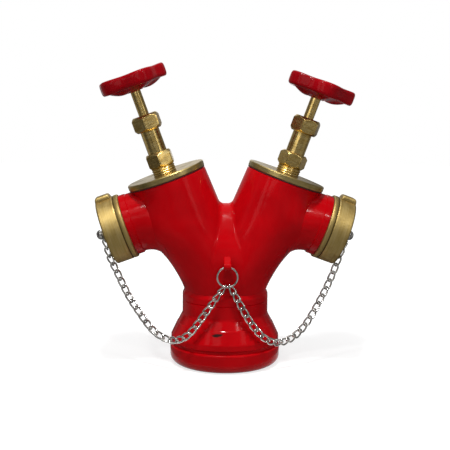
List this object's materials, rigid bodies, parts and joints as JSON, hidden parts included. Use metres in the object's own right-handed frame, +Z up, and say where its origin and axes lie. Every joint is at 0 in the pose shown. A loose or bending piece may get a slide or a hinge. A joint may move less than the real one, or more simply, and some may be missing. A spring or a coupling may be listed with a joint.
{
  "type": "twin-outlet fire hydrant head",
  "caption": "Red Y-shaped hydrant head on a threaded foot: leaning screw-down valves with handwheels and brass bonnets, brass-capped hose outlets, and chains hung from a front ring.",
  "frame": {"origin": "middle of the foot's underside, on the surface it stands on", "axes": "+Z up, +X to the right of the front view, -Y towards the front with the chain ring"},
  "size_m": [0.3302, 0.14, 0.3787],
  "materials": {
    "red_enamel": "gloss red enamel over iron casting",
    "brass": "turned and brushed yellow brass",
    "plated_steel": "bright plated steel wire",
    "rubber": "black moulded rubber",
    "packing": "graphited braided packing"
  },
  "bodies": {
    "hydrant": {"body_casting": "red_enamel", "left_seat_ring": "brass", "left_bonnet_gasket": "rubber", "left_bonnet_plate": "brass", "left_stuffing_box": "brass", "left_gland_packing": "packing", "left_gland_follower": "brass", "left_gland_nut": "brass", "left_chain": "plated_steel", "right_seat_ring": "brass", "right_bonnet_gasket": "rubber", "right_bonnet_plate": "brass", "right_stuffing_box": "brass", "right_gland_packing": "packing", "right_gland_follower": "brass", "right_gland_nut": "brass", "right_chain": "plated_steel"},
    "left_disc_unit": {"left_valve_disc": "brass", "left_disc_washer": "rubber", "left_disc_nut": "brass"},
    "left_wheel_unit": {"left_spindle": "brass", "left_handwheel": "red_enamel", "left_wheel_washer": "plated_steel", "left_wheel_nut": "plated_steel"},
    "left_stud_unit": {"left_cap_stud": "plated_steel"},
    "left_cap_unit": {"left_outlet_cap": "brass", "left_cap_gasket": "rubber"},
    "right_disc_unit": {"right_valve_disc": "brass", "right_disc_washer": "rubber", "right_disc_nut": "brass"},
    "right_wheel_unit": {"right_spindle": "brass", "right_handwheel": "red_enamel", "right_wheel_washer": "plated_steel", "right_wheel_nut": "plated_steel"},
    "right_stud_unit": {"right_cap_stud": "plated_steel"},
    "right_cap_unit": {"right_outlet_cap": "brass", "right_cap_gasket": "rubber"},
    "ring_unit": {"split_ring": "plated_steel"}
  },
  "joints": [
    {"name": "left_valve_lift", "type": "slide", "parent": "hydrant", "child": "left_disc_unit", "axis": [-0.342, 0, 0.9397], "range_m": [-0.0075, 0.0125]},
    {"name": "left_wheel_turn", "type": "hinge", "parent": "left_disc_unit", "child": "left_wheel_unit", "pos_m": [-0.11116, 0, 0.3364], "axis": [-0.342, 0, 0.9397], "range_deg": [-540.1, 900.1]},
    {"name": "left_cap_travel", "type": "slide", "parent": "hydrant", "child": "left_stud_unit", "axis": [-0.9397, 0, -0.342], "range_m": [0, 0.018], "deforming": ["left_chain"]},
    {"name": "left_cap_turn", "type": "hinge", "parent": "left_stud_unit", "child": "left_cap_unit", "pos_m": [-0.15029, 0, 0.16615], "axis": [-0.9397, 0, -0.342], "range_deg": [-0.1, 1440.1]},
    {"name": "right_valve_lift", "type": "slide", "parent": "hydrant", "child": "right_disc_unit", "axis": [0.342, 0, 0.9397], "range_m": [0, 0.02]},
    {"name": "right_wheel_turn", "type": "hinge", "parent": "right_disc_unit", "child": "right_wheel_unit", "pos_m": [0.11116, 0, 0.3364], "axis": [0.342, 0, 0.9397], "range_deg": [-0.1, 1440.1]},
    {"name": "right_cap_travel", "type": "slide", "parent": "hydrant", "child": "right_stud_unit", "axis": [0.9397, 0, -0.342], "range_m": [0, 0.018], "deforming": ["right_chain"]},
    {"name": "right_cap_turn", "type": "hinge", "parent": "right_stud_unit", "child": "right_cap_unit", "pos_m": [0.15029, 0, 0.16615], "axis": [0.9397, 0, -0.342], "range_deg": [-0.1, 1440.1]},
    {"name": "ring_swing", "type": "hinge", "parent": "hydrant", "child": "ring_unit", "pos_m": [0, -0.0585, 0.1329], "axis": [1, 0, 0], "range_deg": [-60, 8], "deforming": ["left_chain", "right_chain"]}
  ],
  "couplings": [
    {"joint": "left_wheel_turn", "follows": "left_valve_lift", "rad_per_m": 1256.6},
    {"joint": "left_cap_turn", "follows": "left_cap_travel", "rad_per_m": 1396.3},
    {"joint": "right_wheel_turn", "follows": "right_valve_lift", "rad_per_m": 1256.6},
    {"joint": "right_cap_turn", "follows": "right_cap_travel", "rad_per_m": 1396.3}
  ]
}
